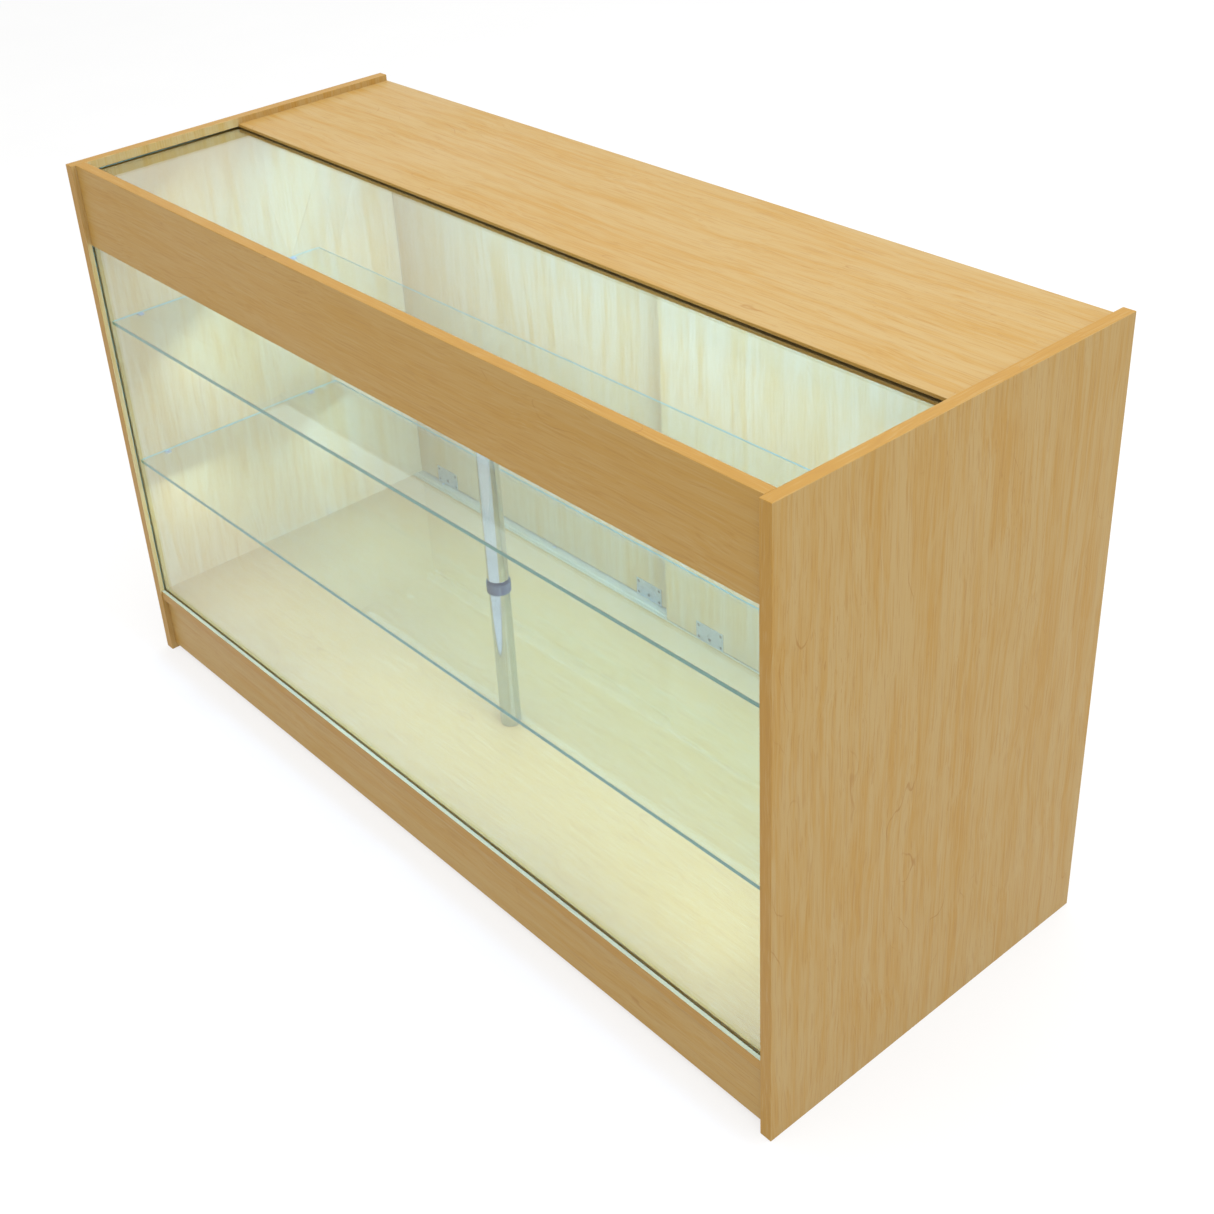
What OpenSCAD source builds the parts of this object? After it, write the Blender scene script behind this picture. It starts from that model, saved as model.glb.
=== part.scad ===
// Shop counter display case: maple-faced boards, a glass front and half glass top,
// two glass shelves carried on pegs and a centre column, and two rear sliding doors.
// X runs along the case, Y from the glass front to the sliding doors, Z up.
// The origin is on the floor, midway between the end panels and between their edges.

/* [Case] */
// Length over the end panels
case_w = 1500; // [1200:50:1800]
// Depth of the end panels
case_d = 600; // [580:10:700]
// Height of the end panels
case_h = 910; // [900:5:960]
// Thickness of every carcass board
board_t = 18; // [18:1:20]
// Depth of the wood half of the counter top, from the rear edge
wood_top_d = 300; // [250:5:320]
// How far the wood top lies below the top edges of the end panels
top_recess = 10; // [6:1:14]

/* [Front] */
// Height of the fascia board above the front glass
fascia_h = 133; // [120:1:150]
// How far the fascia stands behind the end panels' front edges
fascia_setback = 8; // [8:1:9]
// How far the front glass and the plinth stand behind the panels' front edges
glass_setback = 9.5; // [9.5:0.5:11]
// How far the deck's lip stands behind the panels' front edges
deck_setback = 2; // [1:0.5:3]
// Height of the plinth boards
plinth_h = 98; // [90:1:110]
// Gap between the plinth boards and the floor
plinth_gap = 9; // [5:1:12]

/* [Glass] */
// Thickness of every sheet of glass
glass_t = 6; // [5:0.5:6]
// Width of the grooves that hold the front and top glass
groove_w = 8; // [8:0.5:9]
// Depth of those grooves
groove_depth = 8; // [6:1:9]
// How far the top glass lies below the wood top
top_glass_drop = 7; // [6:1:8]

/* [Shelves] */
// Height from the deck to the lower shelf, and from there to the upper one
shelf_spacing = 257; // [240:1:265]
// Depth of the glass shelves
shelf_d = 400; // [380:5:440]
// Gap between the front glass and the shelves
shelf_front_gap = 2.5; // [2:0.5:10]
// Front row of shelf pegs, from the case's centre line
peg_front_y = -232; // [-240:1:-200]
// Rear row of shelf pegs, from the case's centre line
peg_rear_y = 62; // [40:1:80]

/* [Column] */
// Outside diameter of the chrome column tubes
column_d = 32; // [28:1:36]
// Place of the column, from the case's centre line
column_y = -87; // [-110:1:-60]
// Height of the dark collar below the lower shelf
collar_h = 17; // [14:1:24]

/* [Doors] */
// Thickness of the sliding doors
door_t = 16; // [16:0.5:17]
// Gap between the two doors
door_gap = 5; // [5:0.5:6]
// Overlap of the closed doors at the middle
door_overlap = 38; // [30:1:60]
// From a door's closing edge to the middle of its first roller
roller_inset = 86; // [60:1:120]
// From a door's overlapping edge to the middle of its second roller
roller_inner_inset = 102; // [80:1:140]
// Height of the finger pulls above the floor
pull_z = 500; // [400:10:600]
// Diameter of the finger pulls' flanges
pull_d = 44; // [40:1:50]

/* [Lock] */
// Height of the lock above the floor
lock_z = 560; // [450:10:700]
// Travel of the lock cylinder
lock_travel = 8; // [6:1:10]
// Diameter of the lock cylinder
lock_d = 14; // [12:1:15]

/* [Light] */
// Length of the light bar
light_len = 1400; // [900:50:1400]
// Distance from one light chip to the next
led_pitch = 50; // [25:25:100]
// Middle of the light bar, from the case's centre line
light_y = 100; // [95:1:130]

/* [Hidden] */
$fn = 48;
EPS = 0.01;

// Colours
MAPLE = [0.86, 0.72, 0.50];
MAPLE_EDGE = [0.88, 0.75, 0.53];
GLASS = [0.78, 0.90, 0.86, 0.45];
CHROME = [0.80, 0.83, 0.84];
STEEL = [0.70, 0.76, 0.74];
ALUMINIUM = [0.80, 0.82, 0.83];
DARK_PLASTIC = [0.30, 0.33, 0.35];
BLACK_RUBBER = [0.08, 0.08, 0.08];
CLEAR_PLASTIC = [0.85, 0.90, 0.90, 0.60];
WHITE_PLASTIC = [0.92, 0.92, 0.90];
BEECH = [0.80, 0.66, 0.46];
BRASS = [0.80, 0.68, 0.38];

// Main planes
inner_x = case_w / 2 - board_t;
outer_x = case_w / 2;
front_y = -case_d / 2;
rear_y = case_d / 2;
deck_under = plinth_gap + plinth_h;
deck_top = deck_under + board_t;
wood_top_z = case_h - top_recess;
wood_top_under = wood_top_z - board_t;
wood_top_front = rear_y - wood_top_d;
fascia_front = front_y + fascia_setback;
fascia_rear = fascia_front + board_t;
fascia_under = case_h - fascia_h;

// Front and top glass, and their grooves
front_glass_y = front_y + glass_setback;
front_groove_y = front_glass_y - (groove_w - glass_t) * 3 / 4;
front_glass_bottom = deck_top - groove_depth;
front_glass_top = fascia_under - 0.5;
top_glass_z = wood_top_z - top_glass_drop - glass_t;
glass_in_groove = groove_depth - 1;
glass_half_len = inner_x + glass_in_groove;

// Shelves and pegs
lower_shelf_z = deck_top + shelf_spacing;
upper_shelf_z = lower_shelf_z + shelf_spacing;
shelf_front = front_glass_y + glass_t + shelf_front_gap;
shelf_half_len = inner_x - 2;
peg_places = [for (z = [lower_shelf_z, upper_shelf_z], y = [peg_front_y, peg_rear_y]) [y, z]];
peg_size = [10, 9, 7];
peg_pin_r = 2.5;
peg_pin_len = 8;

// Column, from the deck up to the upper shelf
tube_wall = 1.5;
tube_bore_r = column_d / 2 - tube_wall;
plug_h = 18;
plug_r = tube_bore_r - 0.05;
collar_r = column_d / 2 + 2.25;
collar_cap_t = 2;
washer_t = 1;
pad_t = 2;
rod_r = 4;
rod_clear_r = rod_r + 0.5;
nut_h = 6.5;
nut_flats = 13;
flat_washer_t = 1.6;
collar_top = lower_shelf_z - washer_t;
lower_tube_top = collar_top - collar_cap_t;
upper_tube_bottom = lower_shelf_z + glass_t + washer_t;
upper_tube_top = upper_shelf_z - pad_t;
rod_bottom = deck_under - flat_washer_t - nut_h - 5;
rod_top = upper_tube_top - 3;
notch_half = 22;
notch_depth = 27;

// Sliding doors: the left one runs in the rear track, the right one in front of it
rear_track_y = rear_y - 1 - door_t / 2;
front_track_y = rear_track_y - door_t - door_gap;
track_front = front_track_y - door_t / 2;
track_rear = rear_track_y + door_t / 2;
track_end_gap = 0.5;
track_base_t = 1.2;
ridge_h = 2.2;
ridge_r = 1.5;
lip_t = 1;
lip_h = 1.2;
ridge_top = deck_top + track_base_t + ridge_h;
door_end_gap = 1;
door_len = (2 * (inner_x - door_end_gap) + door_overlap) / 2;
door_bottom = ridge_top + 0.6;
upper_track_h = 10;
upper_track_wall = 1.5;
guide_channel_w = 5;
door_top = wood_top_under - upper_track_h - 2;
left_door_x0 = -(inner_x - door_end_gap);
right_door_x0 = inner_x - door_end_gap - door_len;

// Rollers: one V-grooved wheel at each end of a door, in a housing let into its face
wheel_w = 7;
tread_r = 9;
tread_clear = 0.05;
flange_r = 10.5;
axle_r = 2;
axle_clear = 0.05;
wheel_z = ridge_top + tread_r;
housing_half = 20;
housing_h = 28;
housing_depth = 13.5;
wheel_bay_half = 12;
wheel_bay_w = 8;
wheel_bay_h = 13;
plate_half = 30;
plate_h = 33;
plate_t = 1;
plate_drop = 1;
plate_screw_x = 25;
plate_screw_zs = [-4, 18];
left_door_wheels = [left_door_x0 + roller_inset, left_door_x0 + door_len - roller_inner_inset];
right_door_wheels = [right_door_x0 + roller_inner_inset, right_door_x0 + door_len - roller_inset];

// Top guides and finger pulls
guide_half = 15;
guide_tongue_w = 4;
guide_tongue_h = 8;
guide_body_w = 10;
guide_body_h = 20;
guide_inset = 60;
left_door_guides = [left_door_x0 + guide_inset, left_door_x0 + door_len - guide_inset];
right_door_guides = [right_door_x0 + guide_inset, right_door_x0 + door_len - guide_inset];
pull_inset = 61;
left_pull_x = left_door_x0 + pull_inset;
right_pull_x = right_door_x0 + door_len - pull_inset;
pull_cup_r = pull_d / 2 - 3;
pull_wall = 1.5;
pull_depth = 10;
flange_t = 1;

// Lock in the left door, and its strike in the right one
lock_clear = 0.05;
lock_body_r = lock_d / 2 + 2.5;
lock_flange_r = lock_d / 2 + 6;
lock_cylinder_len = 15;
lock_bolt_r = 4;
lock_reach = door_gap - 1;
lock_bolt_len = door_t + flange_t + lock_reach - lock_cylinder_len;
lock_plug_r = 5;
lock_plug_len = 8;
keyway = [2, 7, 6];
strike_r = 7;
strike_flange_r = 10;
strike_bore_r = 5;
strike_len = 8;
strike_proud = door_gap - 1.5;
lock_face_y = track_rear + flange_t;

// Light bar under the wood top
light_w = 17;
light_h = 8;
light_wall = 1.2;
light_clip_t = 1;
light_top_z = wood_top_under - light_clip_t;
light_cap_t = 2.5;
led_board_w = 12;
led_board_t = 1.2;
led_board_z = light_top_z - light_wall - led_board_t;
led_size = [5, 5, 1.5];
led_count = floor((light_len - 20) / led_pitch) + 1;
clip_len = 20;
clip_xs = [for (i = [-3, -1, 1, 3]) i * light_len / 8];
socket_size = [12, 12, 8];
socket_bore_r = 2.8;
socket_bore_len = 9;
socket_pin_r = 1;

// Joints between boards. Each place is where a board's middle plane meets its
// neighbour's face, and the turn that points +X into the neighbour and +Z out of
// the face that the cams are pressed into.
cam_r = 7.5;
cam_h = 13.5;
cam_setback = 34;
cam_bolt_r = 3.4;
cam_bolt_neck_r = 2;
cam_bolt_head_r = 3.2;
cam_thread_r = 2.5;
cam_thread_len = 11;
dowel_r = 4;
dowel_in_board = 18;
dowel_in_panel = 12;
FACE_DOWN = [180, 0, 0];
FACE_REAR = [-90, 0, 0];
FACE_FRONT = [90, 0, 0];
deck_mid = deck_top - board_t / 2;
wood_top_mid = wood_top_z - board_t / 2;
fascia_mid = fascia_front + board_t / 2;
plinth_mid = board_t / 2 - front_glass_y;
cam_places = [
    for (y = [-210, 0, 200]) [[inner_x, y, deck_mid], FACE_DOWN],
    for (y = [70, 200]) [[inner_x, y, wood_top_mid], FACE_DOWN],
    [[inner_x, fascia_mid, fascia_under + 55], FACE_REAR],
    [[inner_x, -plinth_mid + board_t, plinth_gap + 49], FACE_REAR],
    [[inner_x, plinth_mid - board_t, plinth_gap + 49], FACE_FRONT]
];
dowel_places = [
    for (y = [-105, 105]) [[inner_x, y, deck_mid], FACE_DOWN],
    for (y = [30, 265]) [[inner_x, y, wood_top_mid], FACE_DOWN],
    for (z = [23, 89]) [[inner_x, fascia_mid, fascia_under + z], FACE_REAR],
    for (z = [21, 77]) [[inner_x, -plinth_mid + board_t, plinth_gap + z], FACE_REAR],
    for (z = [21, 77]) [[inner_x, plinth_mid - board_t, plinth_gap + z], FACE_FRONT]
];
brace_end_y = -front_glass_y - board_t;
brace_dowel_places = [
    for (z = [31, 71]) [[0, -brace_end_y, plinth_gap + z], [0, 0, -90]],
    for (z = [31, 71]) [[0, brace_end_y, plinth_gap + z], [0, 0, 90]]
];

// Track screws stand between the two rails
track_screw_y = (front_track_y + rear_track_y) / 2;
track_screw_xs = [for (i = [-2:2]) i * inner_x * 0.45];
track_screw_r = 1.75;
track_screw_len = 15;
track_screw_head_r = 3;
track_screw_head_h = 1.2;

// ---- General shapes ----

// A block between two opposite corners
module block(low, high) {
    translate(low) cube(high - low);
}

// What is drawn at the right end, at both ends
module both_ends() {
    children();
    mirror([1, 0, 0]) children();
}

// An outline drawn in Y and Z, run along X
module along_x(x0, x1) {
    translate([x0, 0, 0]) rotate([90, 0, 90]) linear_extrude(x1 - x0) children();
}

// A turned shape drawn about Z, laid along Y with its top towards the rear
module facing_rear() {
    rotate([-90, 0, 0]) children();
}

// A shape at each joint in a list of [place, turn]
module at_joints(places) {
    for (p = places) translate(p[0]) rotate(p[1]) children();
}

// A countersunk wood screw whose head lies in the plane z = 0, pointing down
module countersunk_screw(head_r, shank_r, length) {
    head_h = head_r - shank_r;
    translate([0, 0, -head_h]) cylinder(r1 = shank_r, r2 = head_r, h = head_h);
    translate([0, 0, -length]) cylinder(r = shank_r, h = length - head_h + EPS);
}

// ---- Board joints ----

// A cam pressed into a board's face, with its cross slot and its throat for the bolt
module cam_housing() {
    slot = [9, 1.6, 3];
    translate([-cam_setback, 0, board_t / 2 - cam_h]) difference() {
        cylinder(r = cam_r, h = cam_h);
        for (a = [0, 90])
            rotate([0, 0, a]) translate([-slot.x / 2, -slot.y / 2, cam_h - slot.z]) cube(slot);
        translate([-4, 0, cam_h - board_t / 2]) rotate([0, 90, 0])
            cylinder(r = cam_bolt_head_r + 0.2, h = cam_r + 5);
    }
}

// The bolt that screws into the neighbouring panel and is drawn in by the cam
module cam_bolt() {
    head_x = -cam_setback - 3;
    neck_x = -cam_setback + 1;
    shank_x = -cam_setback + cam_r + 1;
    rotate([0, 90, 0]) {
        translate([0, 0, head_x]) cylinder(r = cam_bolt_head_r, h = neck_x - head_x);
        translate([0, 0, neck_x - EPS]) cylinder(r = cam_bolt_neck_r, h = shank_x - neck_x + 2 * EPS);
        translate([0, 0, shank_x]) cylinder(r = cam_bolt_r, h = -shank_x);
        translate([0, 0, -EPS]) cylinder(r = cam_thread_r, h = cam_thread_len + EPS);
    }
}

module cam_holes_in_board() {
    translate([-cam_setback, 0, board_t / 2 - cam_h - 0.2]) cylinder(r = cam_r + 0.1, h = cam_h + 1);
    translate([-cam_setback, 0, 0]) rotate([0, 90, 0]) cylinder(r = cam_bolt_r + 0.3, h = cam_setback + 1);
}

module cam_hole_in_panel() {
    translate([-1, 0, 0]) rotate([0, 90, 0]) cylinder(r = cam_thread_r + 0.02, h = cam_thread_len + 1.5);
}

module dowel() {
    translate([-dowel_in_board, 0, 0]) rotate([0, 90, 0])
        cylinder(r = dowel_r, h = dowel_in_board + dowel_in_panel);
}

module dowel_hole() {
    translate([-dowel_in_board - 1, 0, 0]) rotate([0, 90, 0])
        cylinder(r = dowel_r + 0.02, h = dowel_in_board + dowel_in_panel + 1.5);
}

// Every hole that the joints make in the boards that lie between the end panels
module board_joint_holes() {
    both_ends() {
        at_joints(cam_places) cam_holes_in_board();
        at_joints(dowel_places) dowel_hole();
    }
    at_joints(brace_dowel_places) dowel_hole();
}

// ---- Carcass boards ----

// The slot that the top glass lies in, in the end panels, the fascia and the wood top
module top_glass_groove() {
    block([-inner_x - groove_depth, fascia_rear - groove_depth, top_glass_z],
          [inner_x + groove_depth, wood_top_front + groove_depth, top_glass_z + groove_w]);
}

// The slot that the front glass stands in, in the end panels and the deck
module front_glass_groove() {
    block([-inner_x - groove_depth, front_groove_y, front_glass_bottom],
          [inner_x + groove_depth, front_groove_y + groove_w, fascia_under]);
}

module end_panel() {
    difference() {
        block([inner_x, front_y, 0], [outer_x, rear_y, case_h]);
        front_glass_groove();
        top_glass_groove();
        at_joints(cam_places) cam_hole_in_panel();
        at_joints(dowel_places) dowel_hole();
        for (p = peg_places) translate([inner_x - 1, p[0], p[1] - peg_size.z / 2]) rotate([0, 90, 0])
            cylinder(r = peg_pin_r, h = peg_pin_len + 1.5);
    }
}

module right_end_panel() {
    color(MAPLE) end_panel();
}

module left_end_panel() {
    color(MAPLE) mirror([1, 0, 0]) end_panel();
}

module front_fascia() {
    color(MAPLE) difference() {
        block([-inner_x, fascia_front, fascia_under], [inner_x, fascia_rear, case_h]);
        top_glass_groove();
        board_joint_holes();
    }
}

module wood_top() {
    color(MAPLE) difference() {
        block([-inner_x, wood_top_front, wood_top_under], [inner_x, rear_y, wood_top_z]);
        top_glass_groove();
        board_joint_holes();
        for (x = track_screw_xs) upper_track_screw(x);
        for (x = clip_xs) light_clip_screw(x);
    }
}

module deck() {
    color(MAPLE_EDGE) difference() {
        block([-inner_x, front_y + deck_setback, deck_under], [inner_x, rear_y, deck_top]);
        front_glass_groove();
        board_joint_holes();
        for (x = track_screw_xs) lower_track_screw(x);
        translate([0, column_y, deck_under - 1]) cylinder(r = rod_clear_r, h = board_t + 2);
    }
}

// The plinth board as it stands at the front
module plinth() {
    difference() {
        block([-inner_x, front_glass_y, plinth_gap], [inner_x, front_glass_y + board_t, deck_under]);
        board_joint_holes();
    }
}

module front_plinth() {
    color(MAPLE) plinth();
}

module rear_plinth() {
    color(MAPLE) mirror([0, 1, 0]) plinth();
}

// The board that carries the middle of the deck, notched for the foot of the tie rod
module plinth_brace() {
    color(MAPLE) difference() {
        block([-board_t / 2, -brace_end_y, plinth_gap], [board_t / 2, brace_end_y, deck_under]);
        block([-board_t, column_y - notch_half, deck_under - notch_depth],
              [board_t, column_y + notch_half, deck_under + 1]);
        at_joints(brace_dowel_places) dowel_hole();
    }
}

module cam_housings() {
    color(STEEL) both_ends() at_joints(cam_places) cam_housing();
}

module cam_bolts() {
    color(STEEL) both_ends() at_joints(cam_places) cam_bolt();
}

module dowels() {
    color(BEECH) {
        both_ends() at_joints(dowel_places) dowel();
        at_joints(brace_dowel_places) dowel();
    }
}

// ---- Glass and shelves ----

module front_glass() {
    color(GLASS) block([-glass_half_len, front_glass_y, front_glass_bottom],
                       [glass_half_len, front_glass_y + glass_t, front_glass_top]);
}

module top_glass() {
    color(GLASS) block([-glass_half_len, fascia_rear - glass_in_groove, top_glass_z],
                       [glass_half_len, wood_top_front + glass_in_groove, top_glass_z + glass_t]);
}

module glass_shelf(z) {
    block([-shelf_half_len, shelf_front, z], [shelf_half_len, shelf_front + shelf_d, z + glass_t]);
}

module lower_shelf() {
    color(GLASS) difference() {
        glass_shelf(lower_shelf_z);
        translate([0, column_y, lower_shelf_z - 1]) cylinder(r = rod_clear_r, h = glass_t + 2);
    }
}

module upper_shelf() {
    color(GLASS) glass_shelf(upper_shelf_z);
}

// A peg is a pin in the end panel and a flat-topped lug with a sloping underside
module shelf_peg() {
    rotate([0, 90, 0]) translate([peg_size.z / 2, 0, 0]) cylinder(r = peg_pin_r, h = peg_pin_len);
    translate([0, peg_size.y / 2, 0]) rotate([90, 0, 0]) linear_extrude(peg_size.y)
        polygon([[0, 0], [-peg_size.x, 0], [-peg_size.x, -peg_size.z * 0.35], [0, -peg_size.z]]);
}

module shelf_pegs() {
    color(CLEAR_PLASTIC) both_ends()
        for (p = peg_places) translate([inner_x, p[0], p[1]]) shelf_peg();
}

// ---- Column ----

module column_tube(z0, z1) {
    translate([0, column_y, z0]) difference() {
        cylinder(d = column_d, h = z1 - z0);
        translate([0, 0, -1]) cylinder(r = tube_bore_r, h = z1 - z0 + 2);
    }
}

module lower_column_tube() {
    color(CHROME) column_tube(deck_top, lower_tube_top);
}

module upper_column_tube() {
    color(CHROME) column_tube(upper_tube_bottom, upper_tube_top);
}

// A cap sleeve on the lower tube, on which the lower shelf rests
module column_collar() {
    color(DARK_PLASTIC) translate([0, column_y, collar_top - collar_h]) difference() {
        cylinder(r = collar_r, h = collar_h);
        translate([0, 0, -1]) cylinder(r = column_d / 2 + 0.03, h = collar_h - collar_cap_t + 1);
        cylinder(r = rod_clear_r, h = collar_h + 1);
    }
}

module hexagon_prism(h) {
    cylinder(d = nut_flats / cos(30), h = h, $fn = 6);
}

module column_plug(z0) {
    translate([0, column_y, z0]) difference() {
        cylinder(r = plug_r, h = plug_h);
        translate([0, 0, -1]) cylinder(r = rod_r + 0.2, h = plug_h + 2);
    }
}

module column_plugs() {
    color(DARK_PLASTIC) {
        column_plug(deck_top);
        column_plug(upper_tube_bottom);
        difference() {
            column_plug(upper_tube_top - plug_h);
            translate([0, column_y, rod_top - nut_h]) hexagon_prism(nut_h + 5);
        }
    }
}

module column_glass_washers() {
    color(BLACK_RUBBER) for (z = [collar_top, lower_shelf_z + glass_t])
        translate([0, column_y, z]) difference() {
            cylinder(d = column_d, h = washer_t);
            translate([0, 0, -1]) cylinder(r = rod_clear_r, h = washer_t + 2);
        }
}

module column_top_pad() {
    color(CLEAR_PLASTIC) translate([0, column_y, upper_tube_top]) cylinder(d = column_d, h = pad_t);
}

module tie_rod() {
    color(STEEL) translate([0, column_y, rod_bottom]) cylinder(r = rod_r, h = rod_top - rod_bottom);
}

module tie_rod_nuts() {
    color(STEEL) for (z = [deck_under - flat_washer_t - nut_h, rod_top - nut_h])
        translate([0, column_y, z]) difference() {
            hexagon_prism(nut_h);
            translate([0, 0, -1]) cylinder(r = rod_r, h = nut_h + 2);
        }
}

module tie_rod_washer() {
    color(STEEL) translate([0, column_y, deck_under - flat_washer_t]) difference() {
        cylinder(r = 3 * rod_r, h = flat_washer_t);
        translate([0, 0, -1]) cylinder(r = rod_r + 0.2, h = flat_washer_t + 2);
    }
}

// ---- Door tracks ----

// One running rail with a round crown
module rail_outline(y) {
    translate([y - ridge_r, deck_top]) square([2 * ridge_r, track_base_t + ridge_h - ridge_r]);
    translate([y, ridge_top - ridge_r]) circle(r = ridge_r);
}

module lower_door_track() {
    color(ALUMINIUM) difference() {
        along_x(-inner_x + track_end_gap, inner_x - track_end_gap) {
            translate([track_front, deck_top]) square([track_rear - track_front, track_base_t]);
            for (y = [track_front, track_rear - lip_t])
                translate([y, deck_top]) square([lip_t, track_base_t + lip_h]);
            for (y = [front_track_y, rear_track_y]) rail_outline(y);
        }
        for (x = track_screw_xs) lower_track_screw(x);
    }
}

module upper_door_track() {
    legs = [for (y = [front_track_y, rear_track_y], side = [-1, 1])
        y + side * (guide_channel_w + upper_track_wall) / 2 - upper_track_wall / 2];
    color(WHITE_PLASTIC) difference() {
        along_x(-inner_x + track_end_gap, inner_x - track_end_gap) {
            translate([track_front, wood_top_under - upper_track_wall])
                square([track_rear - track_front, upper_track_wall]);
            for (y = legs)
                translate([y, wood_top_under - upper_track_h]) square([upper_track_wall, upper_track_h]);
        }
        for (x = track_screw_xs) upper_track_screw(x);
    }
}

// A pan-headed screw pointing up, with the underside of its head at z = 0
module pan_screw() {
    cylinder(r = track_screw_r, h = track_screw_len);
    translate([0, 0, -track_screw_head_h]) cylinder(r = track_screw_head_r, h = track_screw_head_h);
}

module lower_track_screw(x) {
    translate([x, track_screw_y, deck_top + track_base_t]) mirror([0, 0, 1]) pan_screw();
}

module upper_track_screw(x) {
    translate([x, track_screw_y, wood_top_under - upper_track_wall]) pan_screw();
}

module track_screws() {
    color(STEEL) for (x = track_screw_xs) {
        lower_track_screw(x);
        upper_track_screw(x);
    }
}

// ---- Light bar ----

module light_profile() {
    y0 = light_y - light_w / 2;
    y1 = light_y + light_w / 2;
    color(ALUMINIUM) difference() {
        block([-light_len / 2, y0, light_top_z - light_h], [light_len / 2, y1, light_top_z]);
        block([-light_len / 2 - 1, y0 + light_wall, light_top_z - light_h - 1],
              [light_len / 2 + 1, y1 - light_wall, light_top_z - light_wall]);
    }
}

// A clear strip held between the profile's walls
module light_cover() {
    half_w = light_w / 2 - light_wall - 0.05;
    color(CLEAR_PLASTIC) along_x(-light_len / 2, light_len / 2)
        translate([light_y - half_w, light_top_z - light_h]) square([2 * half_w, light_wall]);
}

module light_board() {
    color(WHITE_PLASTIC) block([-light_len / 2 + 3, light_y - led_board_w / 2, led_board_z],
                               [light_len / 2 - 3, light_y + led_board_w / 2, led_board_z + led_board_t]);
}

module light_leds() {
    color("lightyellow") for (i = [0:led_count - 1])
        translate([(i - (led_count - 1) / 2) * led_pitch, light_y, led_board_z - led_size.z])
            translate([-led_size.x / 2, -led_size.y / 2, 0]) cube(led_size);
}

module light_end_caps() {
    color(DARK_PLASTIC) both_ends()
        block([light_len / 2, light_y - light_w / 2, light_top_z - light_h],
              [light_len / 2 + light_cap_t, light_y + light_w / 2, light_top_z]);
}

// The low-voltage inlet on the right end cap, with its centre pin
module light_socket() {
    x0 = light_len / 2 + light_cap_t;
    x1 = x0 + socket_size.x;
    mouth = [x1 - socket_bore_len, light_y, light_top_z - light_h / 2];
    color(DARK_PLASTIC) {
        difference() {
            block([x0, light_y - socket_size.y / 2, light_top_z - socket_size.z],
                  [x1, light_y + socket_size.y / 2, light_top_z]);
            translate(mouth) rotate([0, 90, 0]) cylinder(r = socket_bore_r, h = socket_bore_len + 1);
        }
        translate(mouth - [EPS, 0, 0]) rotate([0, 90, 0])
            cylinder(r = socket_pin_r, h = socket_bore_len - 1);
    }
}

module light_clip_screw(x) {
    translate([x, light_y, light_top_z]) mirror([0, 0, 1]) countersunk_screw(2.5, 1.5, 12);
}

module light_clip(x) {
    half_w = light_w / 2 + light_clip_t;
    leg_h = light_h - 2;
    difference() {
        block([x - clip_len / 2, light_y - half_w, light_top_z - leg_h],
              [x + clip_len / 2, light_y + half_w, wood_top_under]);
        block([x - clip_len, light_y - light_w / 2, light_top_z - leg_h - 1],
              [x + clip_len, light_y + light_w / 2, light_top_z]);
        light_clip_screw(x);
    }
}

module light_clips() {
    color(STEEL) for (x = clip_xs) light_clip(x);
}

module light_clip_screws() {
    color(STEEL) for (x = clip_xs) light_clip_screw(x);
}

// ---- Doors and what is fixed to them ----

module plate_screws_at(x, y) {
    for (dx = [-plate_screw_x, plate_screw_x], dz = plate_screw_zs)
        translate([x + dx, y - door_t / 2 - plate_t, wheel_z + dz]) rotate([90, 0, 0])
            countersunk_screw(2.8, 1.5, 11);
}

// The space that a roller housing takes up in its door
module housing_pocket(x, y) {
    translate([x, y, 0])
        block([-housing_half - 0.1, -door_t / 2 - 1, door_bottom - 1],
              [housing_half + 0.1, -door_t / 2 + housing_depth + 0.1, door_bottom + housing_h + 0.1]);
}

module guide_pocket(x, y) {
    translate([x, y, 0]) block([-guide_half - 0.1, -guide_body_w / 2 - 0.1, door_top - guide_body_h - 0.1],
                               [guide_half + 0.1, guide_body_w / 2 + 0.1, door_top + 1]);
}

module pull_pocket(x, rear_face) {
    translate([x, rear_face, pull_z]) facing_rear()
        translate([0, 0, -pull_depth - 0.5]) cylinder(r = pull_cup_r + 0.1, h = pull_depth + 1.5);
}

// A door with the pockets for its rollers, guides and finger pull
module door_board(x0, y, wheels, guides, pull_x) {
    difference() {
        block([x0, y - door_t / 2, door_bottom], [x0 + door_len, y + door_t / 2, door_top]);
        for (x = wheels) {
            housing_pocket(x, y);
            plate_screws_at(x, y);
        }
        for (x = guides) guide_pocket(x, y);
        pull_pocket(pull_x, y + door_t / 2);
    }
}

module left_door() {
    color(MAPLE) difference() {
        door_board(left_door_x0, rear_track_y, left_door_wheels, left_door_guides, left_pull_x);
        translate([0, rear_track_y - door_t / 2 - 1, lock_z]) facing_rear()
            cylinder(r = lock_body_r + 0.05, h = door_t + 2);
    }
}

module right_door() {
    color(MAPLE) difference() {
        door_board(right_door_x0, front_track_y, right_door_wheels, right_door_guides, right_pull_x);
        translate([0, front_track_y + door_t / 2 - strike_len, lock_z]) facing_rear()
            cylinder(r = strike_r + 0.02, h = strike_len + 1);
    }
}

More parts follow.
